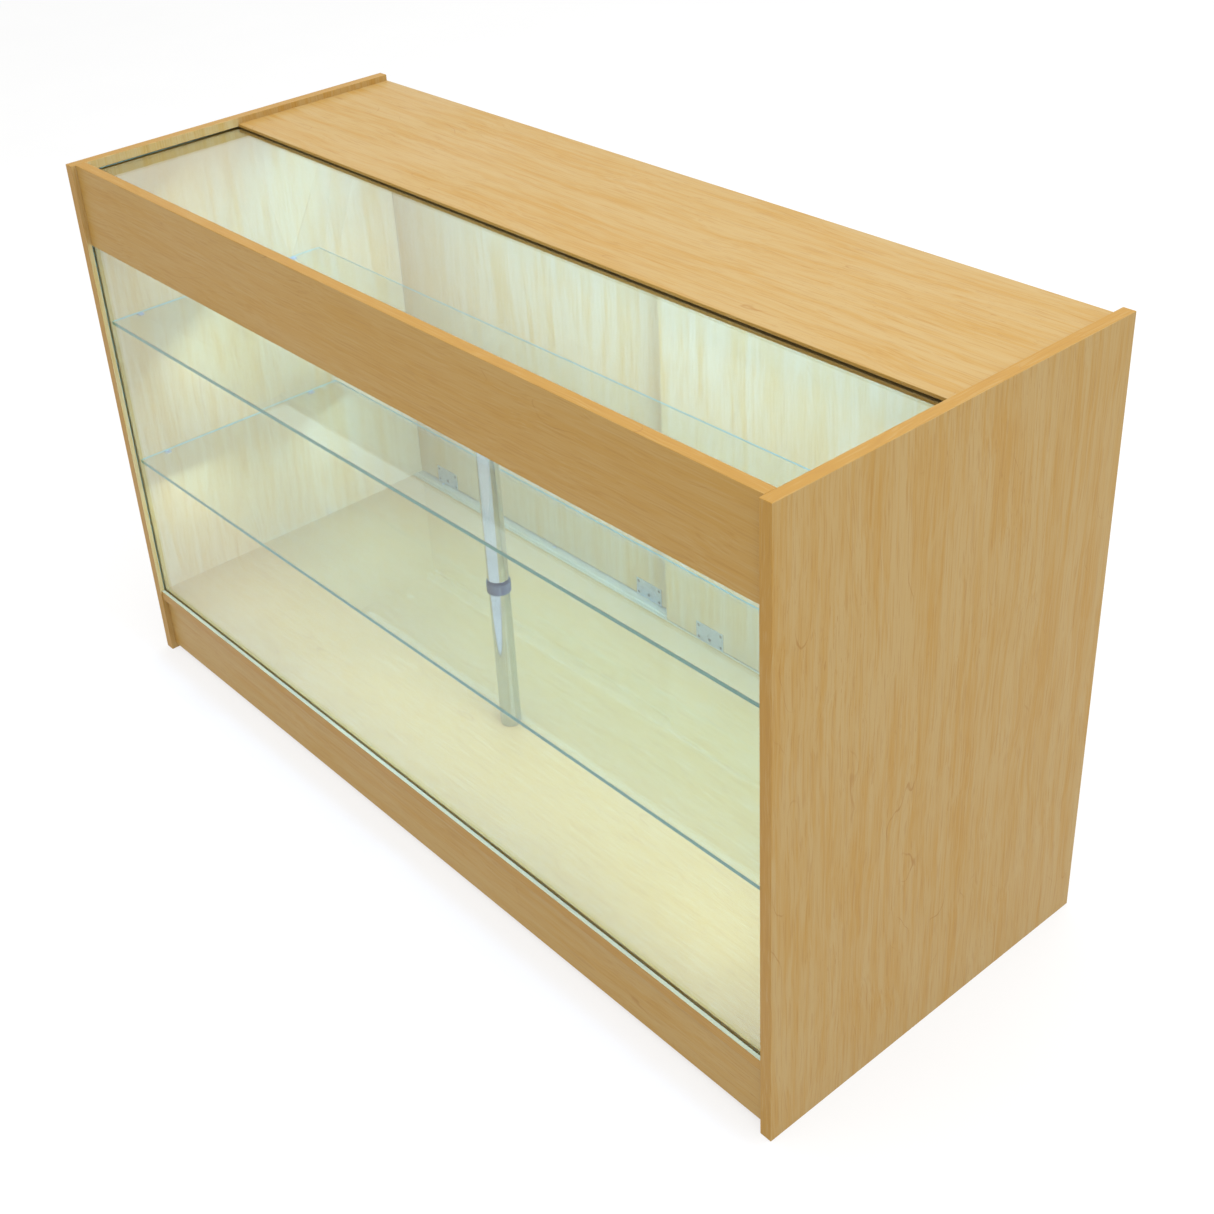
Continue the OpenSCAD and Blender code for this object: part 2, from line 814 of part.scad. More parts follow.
// A pressed face plate with the bay that the wheel turns in behind it
module roller_housing(x, y) {
    face = -door_t / 2;
    translate([x, y, 0]) difference() {
        union() {
            block([-housing_half, face, door_bottom],
                  [housing_half, face + housing_depth, door_bottom + housing_h]);
            block([-plate_half, face - plate_t, door_bottom - plate_drop],
                  [plate_half, face, door_bottom - plate_drop + plate_h]);
        }
        block([-wheel_bay_half, -wheel_bay_w / 2, door_bottom - 2],
              [wheel_bay_half, wheel_bay_w / 2, wheel_z + wheel_bay_h]);
        translate([0, face - 2, wheel_z]) facing_rear() cylinder(r = axle_r, h = door_t);
        translate([-x, -y, 0]) plate_screws_at(x, y);
    }
}

// A plain axle with a low rivet head on the face plate
module axle(x, y) {
    plate_y = y - door_t / 2 - plate_t;
    translate([x, plate_y, wheel_z]) facing_rear() cylinder(r = axle_r, h = housing_depth + plate_t);
    translate([x, plate_y - 0.6, wheel_z]) facing_rear() cylinder(r = axle_r + 1, h = 0.6);
}

// A grooved wheel that straddles the crown of its rail
module wheel(x, y) {
    tread = tread_r - tread_clear;
    half = wheel_w / 2;
    bore = axle_r + axle_clear;
    outline = [[bore, -half], [flange_r, -half], [flange_r, -half + 0.9], [tread, -1.9],
               [tread, 1.9], [flange_r, half - 0.9], [flange_r, half], [bore, half]];
    color(WHITE_PLASTIC) translate([x, y, wheel_z]) rotate([90, 0, 0])
        rotate_extrude($fn = 96) polygon(outline);
}

module left_door_left_wheel() {
    wheel(left_door_wheels[0], rear_track_y);
}

module left_door_right_wheel() {
    wheel(left_door_wheels[1], rear_track_y);
}

module right_door_left_wheel() {
    wheel(right_door_wheels[0], front_track_y);
}

module right_door_right_wheel() {
    wheel(right_door_wheels[1], front_track_y);
}

// A block let into the door's top edge, with a round-ended tongue for the track
module top_guide(x, y) {
    translate([x, y, door_top]) {
        block([-guide_half, -guide_body_w / 2, -guide_body_h], [guide_half, guide_body_w / 2, 0]);
        linear_extrude(guide_tongue_h) {
            square([2 * guide_half - guide_tongue_w, guide_tongue_w], center = true);
            for (side = [-1, 1])
                translate([side * (guide_half - guide_tongue_w / 2), 0]) circle(d = guide_tongue_w);
        }
    }
}

// A round flanged cup that a finger hooks into
module finger_pull(x, rear_face) {
    color(CHROME) translate([x, rear_face, pull_z]) facing_rear() difference() {
        union() {
            cylinder(d = pull_d, h = flange_t);
            translate([0, 0, -pull_depth]) cylinder(r = pull_cup_r, h = pull_depth);
        }
        translate([0, 0, -pull_depth + pull_wall])
            cylinder(r = pull_cup_r - pull_wall, h = pull_depth + flange_t);
    }
}

module left_door_roller_housings() {
    color(STEEL) for (x = left_door_wheels) roller_housing(x, rear_track_y);
}

module right_door_roller_housings() {
    color(STEEL) for (x = right_door_wheels) roller_housing(x, front_track_y);
}

module left_door_axles() {
    color(STEEL) for (x = left_door_wheels) axle(x, rear_track_y);
}

module right_door_axles() {
    color(STEEL) for (x = right_door_wheels) axle(x, front_track_y);
}

module left_door_roller_screws() {
    color(STEEL) for (x = left_door_wheels) plate_screws_at(x, rear_track_y);
}

module right_door_roller_screws() {
    color(STEEL) for (x = right_door_wheels) plate_screws_at(x, front_track_y);
}

module left_door_top_guides() {
    color(WHITE_PLASTIC) for (x = left_door_guides) top_guide(x, rear_track_y);
}

module right_door_top_guides() {
    color(WHITE_PLASTIC) for (x = right_door_guides) top_guide(x, front_track_y);
}

module left_door_pull() {
    finger_pull(left_pull_x, rear_track_y + door_t / 2);
}

module right_door_pull() {
    finger_pull(right_pull_x, front_track_y + door_t / 2);
}

// ---- Lock: pushed in it pins the doors together, and its key lets it spring out ----

module lock_housing() {
    color(CHROME) translate([0, track_rear, lock_z]) facing_rear() difference() {
        union() {
            cylinder(r = lock_flange_r, h = flange_t);
            translate([0, 0, -door_t + 0.5]) cylinder(r = lock_body_r, h = door_t);
        }
        translate([0, 0, -door_t - 1]) cylinder(r = lock_d / 2 + lock_clear, h = door_t + 3);
    }
}

module lock_cylinder() {
    color(CHROME) translate([0, lock_face_y + lock_travel, lock_z]) facing_rear() difference() {
        union() {
            translate([0, 0, -lock_cylinder_len]) cylinder(d = lock_d, h = lock_cylinder_len);
            translate([0, 0, -lock_cylinder_len - lock_bolt_len])
                cylinder(r = lock_bolt_r, h = lock_bolt_len + 1);
        }
        translate([0, 0, -lock_plug_len]) cylinder(r = lock_plug_r + lock_clear, h = lock_plug_len + 1);
    }
}

module lock_plug() {
    color(BRASS) translate([0, lock_face_y + lock_travel, lock_z]) facing_rear() difference() {
        translate([0, 0, -lock_plug_len + 0.1]) cylinder(r = lock_plug_r, h = lock_plug_len - 0.1);
        translate([-keyway.x / 2, -keyway.y / 2, -keyway.z]) cube(keyway + [0, 0, 1]);
    }
}

// A ring pressed into the right door, standing proud in the gap between the doors
module lock_strike() {
    color(STEEL) translate([0, front_track_y + door_t / 2, lock_z]) facing_rear() difference() {
        union() {
            translate([0, 0, -strike_len]) cylinder(r = strike_r, h = strike_len);
            cylinder(r = strike_flange_r, h = strike_proud);
        }
        translate([0, 0, -strike_len + 1]) cylinder(r = strike_bore_r, h = strike_len + strike_proud);
    }
}

// ---- What each name draws ----

left_end_panel();
right_end_panel();
front_fascia();
wood_top();
deck();
front_plinth();
rear_plinth();
plinth_brace();
front_glass();
top_glass();
lower_shelf();
upper_shelf();
shelf_pegs();
lower_column_tube();
upper_column_tube();
column_collar();
column_plugs();
column_glass_washers();
column_top_pad();
tie_rod();
tie_rod_nuts();
tie_rod_washer();
lower_door_track();
upper_door_track();
track_screws();
cam_housings();
cam_bolts();
dowels();
light_profile();
light_cover();
light_board();
light_leds();
light_end_caps();
light_socket();
light_clips();
light_clip_screws();
left_door();
left_door_roller_housings();
left_door_axles();
left_door_roller_screws();
left_door_top_guides();
left_door_pull();
lock_housing();
right_door();
right_door_roller_housings();
right_door_axles();
right_door_roller_screws();
right_door_top_guides();
right_door_pull();
lock_strike();
left_door_left_wheel();
left_door_right_wheel();
right_door_left_wheel();
right_door_right_wheel();
lock_cylinder();
lock_plug();
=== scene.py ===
"""The looks of the display counter: materials, softened edges, lights and camera.

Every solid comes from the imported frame. This script gives each one its material, rounds the
edges of the boards and the glass, and adds the light bar's glow, the studio and the camera.
"""
import math

import bmesh
import bpy
from mathutils import Matrix, Vector


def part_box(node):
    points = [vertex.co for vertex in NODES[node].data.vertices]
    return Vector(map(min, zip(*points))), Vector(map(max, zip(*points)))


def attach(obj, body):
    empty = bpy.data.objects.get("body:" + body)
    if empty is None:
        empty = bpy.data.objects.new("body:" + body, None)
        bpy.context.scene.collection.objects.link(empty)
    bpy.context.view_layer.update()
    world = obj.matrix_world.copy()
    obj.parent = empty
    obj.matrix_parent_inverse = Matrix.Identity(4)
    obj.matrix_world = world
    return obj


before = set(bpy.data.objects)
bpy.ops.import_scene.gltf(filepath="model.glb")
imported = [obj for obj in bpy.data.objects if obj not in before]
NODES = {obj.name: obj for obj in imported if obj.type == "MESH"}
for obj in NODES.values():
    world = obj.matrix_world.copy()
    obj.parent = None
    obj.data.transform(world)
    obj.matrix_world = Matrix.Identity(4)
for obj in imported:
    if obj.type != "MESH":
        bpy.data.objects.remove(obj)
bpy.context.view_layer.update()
MM = 0.001

# A face counts as facing an axis when its normal's part along it is above this
SQUARE_ON = 0.7

# Board faces: which way the grain runs, and along which axis it runs on the board's ends
GRAIN_UP = "Z"
GRAIN_ALONG = "X"
GRAIN_ACROSS = "Y"

# The light bar
CHIP_PITCH = 50.0 * MM
GLOW_POWER = 5.2
GLOW_COLOUR = (0.40, 1.0, 2.6)


# ---- Building node trees ----

class Tree:
    """A material's node tree, with short calls for what the materials share."""

    def __init__(self, name):
        self.material = bpy.data.materials.new(name)
        self.material.use_nodes = True
        self.nodes = self.material.node_tree.nodes
        self.links = self.material.node_tree.links
        self.nodes.clear()
        self.output = self.nodes.new("ShaderNodeOutputMaterial")
        self.coordinates = self.nodes.new("ShaderNodeTexCoord")

    def set(self, socket, value):
        """Gives a socket a number, a colour or another node's output."""
        if isinstance(value, bpy.types.NodeSocket):
            self.links.new(value, socket)
        elif isinstance(value, tuple) and len(value) == 3 and socket.type == "RGBA":
            socket.default_value = (*value, 1.0)
        else:
            socket.default_value = value

    def math(self, operation, a, b=0.5):
        node = self.nodes.new("ShaderNodeMath")
        node.operation = operation
        self.set(node.inputs[0], a)
        self.set(node.inputs[1], b)
        return node.outputs[0]

    def vector_math(self, operation, a, b):
        node = self.nodes.new("ShaderNodeVectorMath")
        node.operation = operation
        self.set(node.inputs[0], a)
        self.set(node.inputs[1], b)
        return node.outputs["Vector"]

    def split(self, vector):
        node = self.nodes.new("ShaderNodeSeparateXYZ")
        self.set(node.inputs[0], vector)
        return list(node.outputs)

    def join(self, x, y, z):
        node = self.nodes.new("ShaderNodeCombineXYZ")
        for socket, value in zip(node.inputs, (x, y, z)):
            self.set(socket, value)
        return node.outputs[0]

    def mix(self, factor, a, b, kind="RGBA"):
        """Goes from a to b, which are colours unless kind says otherwise."""
        node = self.nodes.new("ShaderNodeMix")
        node.data_type = kind
        usable = [s for s in node.inputs if s.enabled]
        self.set(usable[0], factor)
        self.set(usable[1], a)
        self.set(usable[2], b)
        return next(s for s in node.outputs if s.enabled)

    def noise(self, vector, scale, detail=2.0, roughness=0.5, distortion=0.0):
        node = self.nodes.new("ShaderNodeTexNoise")
        self.set(node.inputs["Vector"], vector)
        self.set(node.inputs["Scale"], scale)
        self.set(node.inputs["Detail"], detail)
        self.set(node.inputs["Roughness"], roughness)
        self.set(node.inputs["Distortion"], distortion)
        return node.outputs["Fac"]

    def between(self, value, low, high, to_low=0.0, to_high=1.0):
        """value's place between low and high, smoothed and carried to the new range."""
        node = self.nodes.new("ShaderNodeMapRange")
        node.interpolation_type = "SMOOTHSTEP"
        for socket, number in zip(node.inputs, (value, low, high, to_low, to_high)):
            self.set(socket, number)
        return node.outputs[0]

    def bump(self, height, strength, distance):
        node = self.nodes.new("ShaderNodeBump")
        self.set(node.inputs["Height"], height)
        self.set(node.inputs["Strength"], strength)
        self.set(node.inputs["Distance"], distance)
        return node.outputs["Normal"]

    def surface(self, **values):
        """A Principled shader. Names use underscores for the sockets' spaces."""
        node = self.nodes.new("ShaderNodeBsdfPrincipled")
        for name, value in values.items():
            self.set(node.inputs[name.replace("_", " ")], value)
        return node.outputs[0]

    def mix_shader(self, factor, a, b):
        node = self.nodes.new("ShaderNodeMixShader")
        self.set(node.inputs[0], factor)
        self.set(node.inputs[1], a)
        self.set(node.inputs[2], b)
        return node.outputs[0]

    def finish(self, shader):
        self.links.new(shader, self.output.inputs["Surface"])
        return self.material


# ---- Maple-effect board ----

MAPLE_PALE = (0.492, 0.335, 0.132)
MAPLE_MID = (0.475, 0.296, 0.092)
MAPLE_WARM = (0.465, 0.262, 0.056)
MAPLE_LINE = (0.365, 0.182, 0.040)
MAPLE_EDGING = (0.450, 0.245, 0.048)

# How far the print's grain strays sideways, in metres, and its growth lines
WANDER_WIDTH = 0.040
FLAME_WIDTH = 0.014
RIPPLE_WIDTH = 0.006
RINGS_PER_METRE = 42.0
RING_BENDING = 13.0

# The painted highlight on the deck's strip in front of the glass
LIP_HIGHLIGHT_PALE = (0.475, 0.420, 0.225)
LIP_HIGHLIGHT_GREY = (0.420, 0.370, 0.205)


def grain_coordinates(tree, grain, end_grain, offset):
    """Places on a board as (along the grain, across it, across it), in metres.

    On the faces that the grain would run into, the edging's own grain runs along end_grain.
    """
    order = {"X": (0, 1, 2), "Y": (1, 2, 0), "Z": (2, 0, 1)}
    place = tree.split(tree.coordinates.outputs["Object"])
    normal = tree.split(tree.coordinates.outputs["Normal"])
    main = tree.join(*[place[i] for i in order[grain]])
    edging = tree.join(*[place[i] for i in order[end_grain]])
    facing = tree.math("ABSOLUTE", normal["XYZ".index(grain)])
    on_end = tree.math("GREATER_THAN", facing, SQUARE_ON)
    turned = tree.mix(on_end, main, edging, "VECTOR")
    return tree.vector_math("ADD", turned, offset)


def stretched_noise(tree, where, along, across, detail=2.0):
    """Noise drawn out along the grain. Both scales are in cells per metre."""
    return tree.noise(tree.vector_math("MULTIPLY", where, (along, across, across)), 1.0, detail)


def maple(name, grain, end_grain, thin_axis, offset, tone_and_shade_warmth, overpaint=None):
    """Printed maple on board: pale and warm streaks of three widths, wavy growth lines and
    short pores, under a satin coat with a faint pressed texture. An overpaint function can
    recolour part of it, as the deck's painted highlight on its lip does."""
    tree = Tree(name)
    place = grain_coordinates(tree, grain, end_grain, offset)

    # The grain wanders sideways along the board
    wander = tree.math("SUBTRACT", stretched_noise(tree, place, 1.5, 4.0), 0.5)
    flame = tree.math("SUBTRACT", stretched_noise(tree, place, 7.0, 16.0), 0.5)
    wander = tree.math("MULTIPLY", wander, WANDER_WIDTH)
    shift = tree.math("ADD", wander, tree.math("MULTIPLY", flame, FLAME_WIDTH))
    where = tree.vector_math("ADD", place, tree.join(0.0, shift, shift))

    broad = stretched_noise(tree, where, 1.8, 26.0)
    middling = stretched_noise(tree, where, 4.5, 85.0)
    fine = stretched_noise(tree, where, 9.0, 300.0, 1.0)
    cloud = stretched_noise(tree, where, 3.0, 8.0)

    streaks = tree.math("ADD", tree.math("MULTIPLY", broad, 0.40), tree.math("MULTIPLY", middling, 0.60))
    colour = tree.mix(tree.between(streaks, 0.38, 0.58), MAPLE_PALE, MAPLE_MID)
    colour = tree.mix(tree.between(streaks, 0.50, 0.68, 0.0, 0.75), colour, MAPLE_WARM)
    colour = tree.mix(tree.between(fine, 0.52, 0.70, 0.0, 0.45), colour, MAPLE_WARM)
    colour = tree.mix(tree.between(fine, 0.48, 0.30, 0.0, 0.45), colour, MAPLE_PALE)
    # Made warmer per board: on the fascia and front plinth this is painted shade, for the warmer light
    # on those upright front faces; on the deck it is the board's own tone
    colour = tree.mix(tone_and_shade_warmth, colour, MAPLE_WARM)
    normal = tree.split(tree.coordinates.outputs["Normal"])
    on_face = tree.math("ABSOLUTE", normal["XYZ".index(thin_axis)])
    colour = tree.mix(tree.between(on_face, SQUARE_ON, SQUARE_ON - 0.1), colour, MAPLE_EDGING)

    # Growth lines are the contours of a slow field, so they run long and close into loops
    ripple = tree.math("SUBTRACT", stretched_noise(tree, where, 26.0, 55.0, 1.0), 0.5)
    parts = tree.split(where)
    rippled = tree.math("MULTIPLY", ripple, RIPPLE_WIDTH)
    across = tree.math("ADD", tree.math("ADD", parts[1], parts[2]), rippled)
    field = tree.math("MULTIPLY", stretched_noise(tree, where, 2.1, 9.5, 1.0), RING_BENDING)
    rings = tree.math("ADD", tree.math("MULTIPLY", across, RINGS_PER_METRE), field)
    lines = tree.between(tree.math("PINGPONG", rings, 0.5), 0.022, 0.004)
    fading = stretched_noise(tree, where, 9.0, 34.0)
    lines = tree.math("MULTIPLY", lines, tree.between(fading, 0.48, 0.68, 0.0, 0.65))
    colour = tree.mix(lines, colour, MAPLE_LINE)

    hairs = stretched_noise(tree, where, 14.0, 520.0, 1.0)
    colour = tree.mix(tree.between(hairs, 0.54, 0.70, 0.0, 0.30), colour, MAPLE_LINE)
    colour = tree.mix(tree.between(hairs, 0.46, 0.32, 0.0, 0.35), colour, MAPLE_PALE)

    pores = stretched_noise(tree, where, 60.0, 850.0, 1.0)
    gathered = tree.between(cloud, 0.55, 0.35, 0.1, 0.6)
    pores = tree.math("MULTIPLY", tree.between(pores, 0.66, 0.76), gathered)
    colour = tree.mix(pores, colour, MAPLE_LINE)
    # The deck's painted highlight on its lip goes on here
    if overpaint:
        colour = overpaint(tree, colour, fine)

    pebble = stretched_noise(tree, place, 900.0, 1400.0)
    height = tree.math("ADD", tree.math("MULTIPLY", pebble, 0.4), tree.math("MULTIPLY", fine, 0.6))
    handling = tree.noise(tree.coordinates.outputs["Object"], 5.0, 3.0)
    shader = tree.surface(
        Base_Color=colour,
        Roughness=tree.between(handling, 0.3, 0.7, 0.34, 0.44),
        Specular_IOR_Level=0.20,
        Normal=tree.bump(height, 0.10, 0.3 * MM),
    )
    return tree.finish(shader)


def lip_painted_highlight(tree, colour, streaks):
    """Paints the deck's top in front of the glass pale grey: a painted highlight, for the paler look
    that this strip of the same board has in the light.
    """
    glass_front = NODES["deck"].matrix_world.inverted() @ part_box("front_glass")[0]
    depth = tree.split(tree.coordinates.outputs["Object"])[1]
    upward = tree.split(tree.coordinates.outputs["Normal"])[2]
    in_front = tree.math("LESS_THAN", depth, glass_front.y)
    on_lip = tree.math("MULTIPLY", in_front, tree.math("GREATER_THAN", upward, 0.5))
    # Painted highlight: the pale grey that the lip is painted
    strip = tree.mix(tree.between(streaks, 0.35, 0.65), LIP_HIGHLIGHT_PALE, LIP_HIGHLIGHT_GREY)
    return tree.mix(on_lip, colour, strip)


# ---- Glass ----

CLEAR_TINT = (0.975, 0.990, 0.985)
SHELF_TINT = (0.925, 0.985, 0.990)


def glass(name, thin_axis, tint):
    """Clear float glass. Its faces are nearly colourless and its polished edges are green; light
    from lamps passes straight through it."""
    tree = Tree(name)
    normal = tree.split(tree.coordinates.outputs["Normal"])
    facing = tree.math("ABSOLUTE", normal["XYZ".index(thin_axis)])
    on_edge = tree.math("LESS_THAN", facing, SQUARE_ON)
    place = tree.coordinates.outputs["Object"]
    wiped = tree.noise(place, 14.0, 4.0, 0.6, 0.8)
    face = tree.surface(
        Base_Color=tint,
        Roughness=tree.between(wiped, 0.45, 0.80, 0.0, 0.003),
        IOR=1.52,
        Transmission_Weight=1.0,
    )
    ground = tree.noise(tree.vector_math("MULTIPLY", place, (60.0, 60.0, 1800.0)), 1.0, 2.0)
    edge = tree.surface(
        Base_Color=tree.mix(tree.between(ground, 0.3, 0.7), (0.11, 0.33, 0.25), (0.20, 0.46, 0.36)),
        Roughness=tree.between(ground, 0.3, 0.7, 0.30, 0.45),
        IOR=1.40,
        Normal=tree.bump(ground, 0.05, 0.1 * MM),
    )
    solid = tree.mix_shader(on_edge, face, edge)
    lamp_light = tree.nodes.new("ShaderNodeBsdfTransparent")
    tree.set(lamp_light.inputs[0], (0.965, 0.985, 0.975))
    path = tree.nodes.new("ShaderNodeLightPath")
    return tree.finish(tree.mix_shader(path.outputs["Is Shadow Ray"], solid, lamp_light.outputs[0]))


def clear_plastic(name):
    """Clear moulded plastic with faint flow lines."""
    tree = Tree(name)
    flow = tree.noise(tree.coordinates.outputs["Object"], 260.0, 3.0, 0.5, 1.0)
    face = tree.surface(
        Base_Color=tree.mix(flow, (0.86, 0.93, 0.96), (0.95, 0.97, 0.97)),
        Roughness=tree.between(flow, 0.3, 0.7, 0.06, 0.16),
        IOR=1.49,
        Transmission_Weight=0.85,
        Normal=tree.bump(flow, 0.12, 0.2 * MM),
    )
    lamp_light = tree.nodes.new("ShaderNodeBsdfTransparent")
    tree.set(lamp_light.inputs[0], (0.85, 0.88, 0.88))
    path = tree.nodes.new("ShaderNodeLightPath")
    return tree.finish(tree.mix_shader(path.outputs["Is Shadow Ray"], face, lamp_light.outputs[0]))


# ---- Metals, plastics and the rest ----

def polished_metal(name, colour, dull_colour, roughness):
    """Plated metal with wiping marks in its gloss and a slight haze."""
    tree = Tree(name)
    place = tree.coordinates.outputs["Object"]
    haze = tree.noise(place, 40.0, 4.0, 0.6)
    marks = tree.noise(tree.vector_math("MULTIPLY", place, (900.0, 900.0, 40.0)), 1.0, 2.0)
    shader = tree.surface(
        Base_Color=tree.mix(tree.between(haze, 0.4, 0.75), colour, dull_colour),
        Metallic=1.0,
        Roughness=tree.between(haze, 0.35, 0.75, roughness, roughness + 0.10),
        Normal=tree.bump(marks, 0.03, 0.05 * MM),
    )
    return tree.finish(shader)


def zinc_plate(name):
    """Zinc-plated steel: a soft spangle, with dull patches."""
    tree = Tree(name)
    place = tree.coordinates.outputs["Object"]
    cells = tree.nodes.new("ShaderNodeTexVoronoi")
    tree.set(cells.inputs["Vector"], place)
    tree.set(cells.inputs["Scale"], 350.0)
    dull = tree.noise(place, 90.0, 4.0, 0.6)
    spangle = tree.split(cells.outputs["Color"])[0]
    colour = tree.mix(spangle, (0.54, 0.60, 0.55), (0.64, 0.69, 0.64))
    colour = tree.mix(tree.between(dull, 0.5, 0.75, 0.0, 0.6), colour, (0.44, 0.48, 0.44))
    shader = tree.surface(
        Base_Color=colour,
        Metallic=0.85,
        Roughness=tree.between(dull, 0.3, 0.7, 0.32, 0.50),
        Normal=tree.bump(tree.math("ADD", spangle, dull), 0.08, 0.1 * MM),
    )
    return tree.finish(shader)


def extruded_aluminium(name, colour, worn_colour):
    """Satin anodised aluminium, with the die's fine lines along the extrusion."""
    tree = Tree(name)
    place = tree.coordinates.outputs["Object"]
    lines = tree.noise(tree.vector_math("MULTIPLY", place, (3.0, 2600.0, 2600.0)), 1.0, 2.0)
    wear = tree.noise(tree.vector_math("MULTIPLY", place, (9.0, 300.0, 300.0)), 1.0, 3.0)
    shader = tree.surface(
        Base_Color=tree.mix(tree.between(wear, 0.45, 0.75), colour, worn_colour),
        Metallic=0.35,
        Roughness=tree.between(lines, 0.3, 0.7, 0.34, 0.46),
        Normal=tree.bump(lines, 0.10, 0.05 * MM),
    )
    return tree.finish(shader)


def moulded_plastic(name, colour, other_colour, roughness):
    """Moulded plastic with a fine spark-eroded texture and uneven gloss."""
    tree = Tree(name)
    place = tree.coordinates.outputs["Object"]
    texture = tree.noise(place, 2200.0, 2.0)
    patches = tree.noise(place, 70.0, 3.0)
    shader = tree.surface(
        Base_Color=tree.mix(tree.between(patches, 0.35, 0.7), colour, other_colour),
        Roughness=tree.between(patches, 0.3, 0.7, roughness, roughness + 0.15),
        Normal=tree.bump(texture, 0.15, 0.1 * MM),
    )
    return tree.finish(shader)


def glowing_diffuser(name):
    """The bar's opal cover, lit from behind, a little brighter over each chip."""
    tree = Tree(name)
    place = tree.coordinates.outputs["Object"]
    along = tree.split(place)[0]
    from_chip = tree.math("PINGPONG", tree.math("ADD", tree.math("DIVIDE", along, CHIP_PITCH), 0.5), 0.5)
    grains = tree.noise(place, 900.0, 2.0)
    over_chip = tree.between(from_chip, 0.5, 0.0, 0.18, 0.26)
    glow = tree.math("MULTIPLY", over_chip, tree.between(grains, 0.2, 0.8, 0.9, 1.1))
    shader = tree.surface(
        Base_Color=tree.mix(grains, (0.46, 0.48, 0.48), (0.52, 0.54, 0.54)),
        Roughness=tree.between(grains, 0.3, 0.7, 0.35, 0.5),
        Emission_Color=(0.80, 0.96, 1.0),
        Emission_Strength=glow,
        Normal=tree.bump(grains, 0.1, 0.1 * MM),
    )
    return tree.finish(shader)


def light_chip(name):
    """A white chip package round a glowing yellow phosphor."""
    tree = Tree(name)
    place = tree.coordinates.outputs["Object"]
    grains = tree.noise(place, 3000.0, 2.0)
    shader = tree.surface(
        Base_Color=tree.mix(grains, (0.85, 0.78, 0.35), (0.90, 0.86, 0.55)),
        Roughness=tree.between(grains, 0.3, 0.7, 0.3, 0.5),
        Emission_Color=(0.72, 0.92, 1.0),
        Emission_Strength=1.4,
    )
    return tree.finish(shader)


def beech_dowel(name):
    """Plain beech with short dark flecks along the dowel."""
    tree = Tree(name)
    place = tree.coordinates.outputs["Object"]
    flecks = tree.noise(tree.vector_math("MULTIPLY", place, (160.0, 1500.0, 1500.0)), 1.0, 2.0)
    shader = tree.surface(
        Base_Color=tree.mix(tree.between(flecks, 0.45, 0.7), (0.52, 0.34, 0.19), (0.36, 0.20, 0.10)),
        Roughness=tree.between(flecks, 0.3, 0.7, 0.55, 0.7),
        Normal=tree.bump(flecks, 0.2, 0.1 * MM),
    )
    return tree.finish(shader)


# ---- Giving the nodes their materials ----

def dress(material, *names):
    """Puts one material on every slot of each named node."""
    for name in names:
        slots = NODES[name].data.materials
        slots.clear()
        slots.append(material)


# Each board's grain, the grain of the edging on its ends, the axis it is thin along, and how
# much warmer its colour is made: the deck's own warmer tone, and on the fascia and front plinth painted
# shade for the warmer light on those upright front faces
BOARDS = {
    "left_end_panel": (GRAIN_UP, GRAIN_ACROSS, "X", 0.0),
    "right_end_panel": (GRAIN_UP, GRAIN_ACROSS, "X", 0.0),
    "left_door": (GRAIN_UP, GRAIN_ALONG, "Y", 0.0),
    "right_door": (GRAIN_UP, GRAIN_ALONG, "Y", 0.0),
    "front_fascia": (GRAIN_ALONG, GRAIN_UP, "Y", 0.60),
    "wood_top": (GRAIN_ALONG, GRAIN_ACROSS, "Z", 0.0),
    "deck": (GRAIN_ALONG, GRAIN_ACROSS, "Z", 0.80),
    "front_plinth": (GRAIN_ALONG, GRAIN_UP, "Y", 0.40),
    "rear_plinth": (GRAIN_ALONG, GRAIN_UP, "Y", 0.0),
    "plinth_brace": (GRAIN_ACROSS, GRAIN_UP, "X", 0.0),
}
SHEET_STEP = (3.1, 1.7, 2.3)


def dress_boards():
    """Each board is cut from its own part of the printed sheet."""
    for i, (name, (grain, end_grain, thin_axis, tone_and_shade_warmth)) in enumerate(BOARDS.items()):
        offset = tuple(step * (i + 1) for step in SHEET_STEP)
        # Only the deck is repainted in part: a painted highlight on its lip
        overpaint = lip_painted_highlight if name == "deck" else None
        dress(maple(f"maple_{name}", grain, end_grain, thin_axis, offset, tone_and_shade_warmth, overpaint), name)


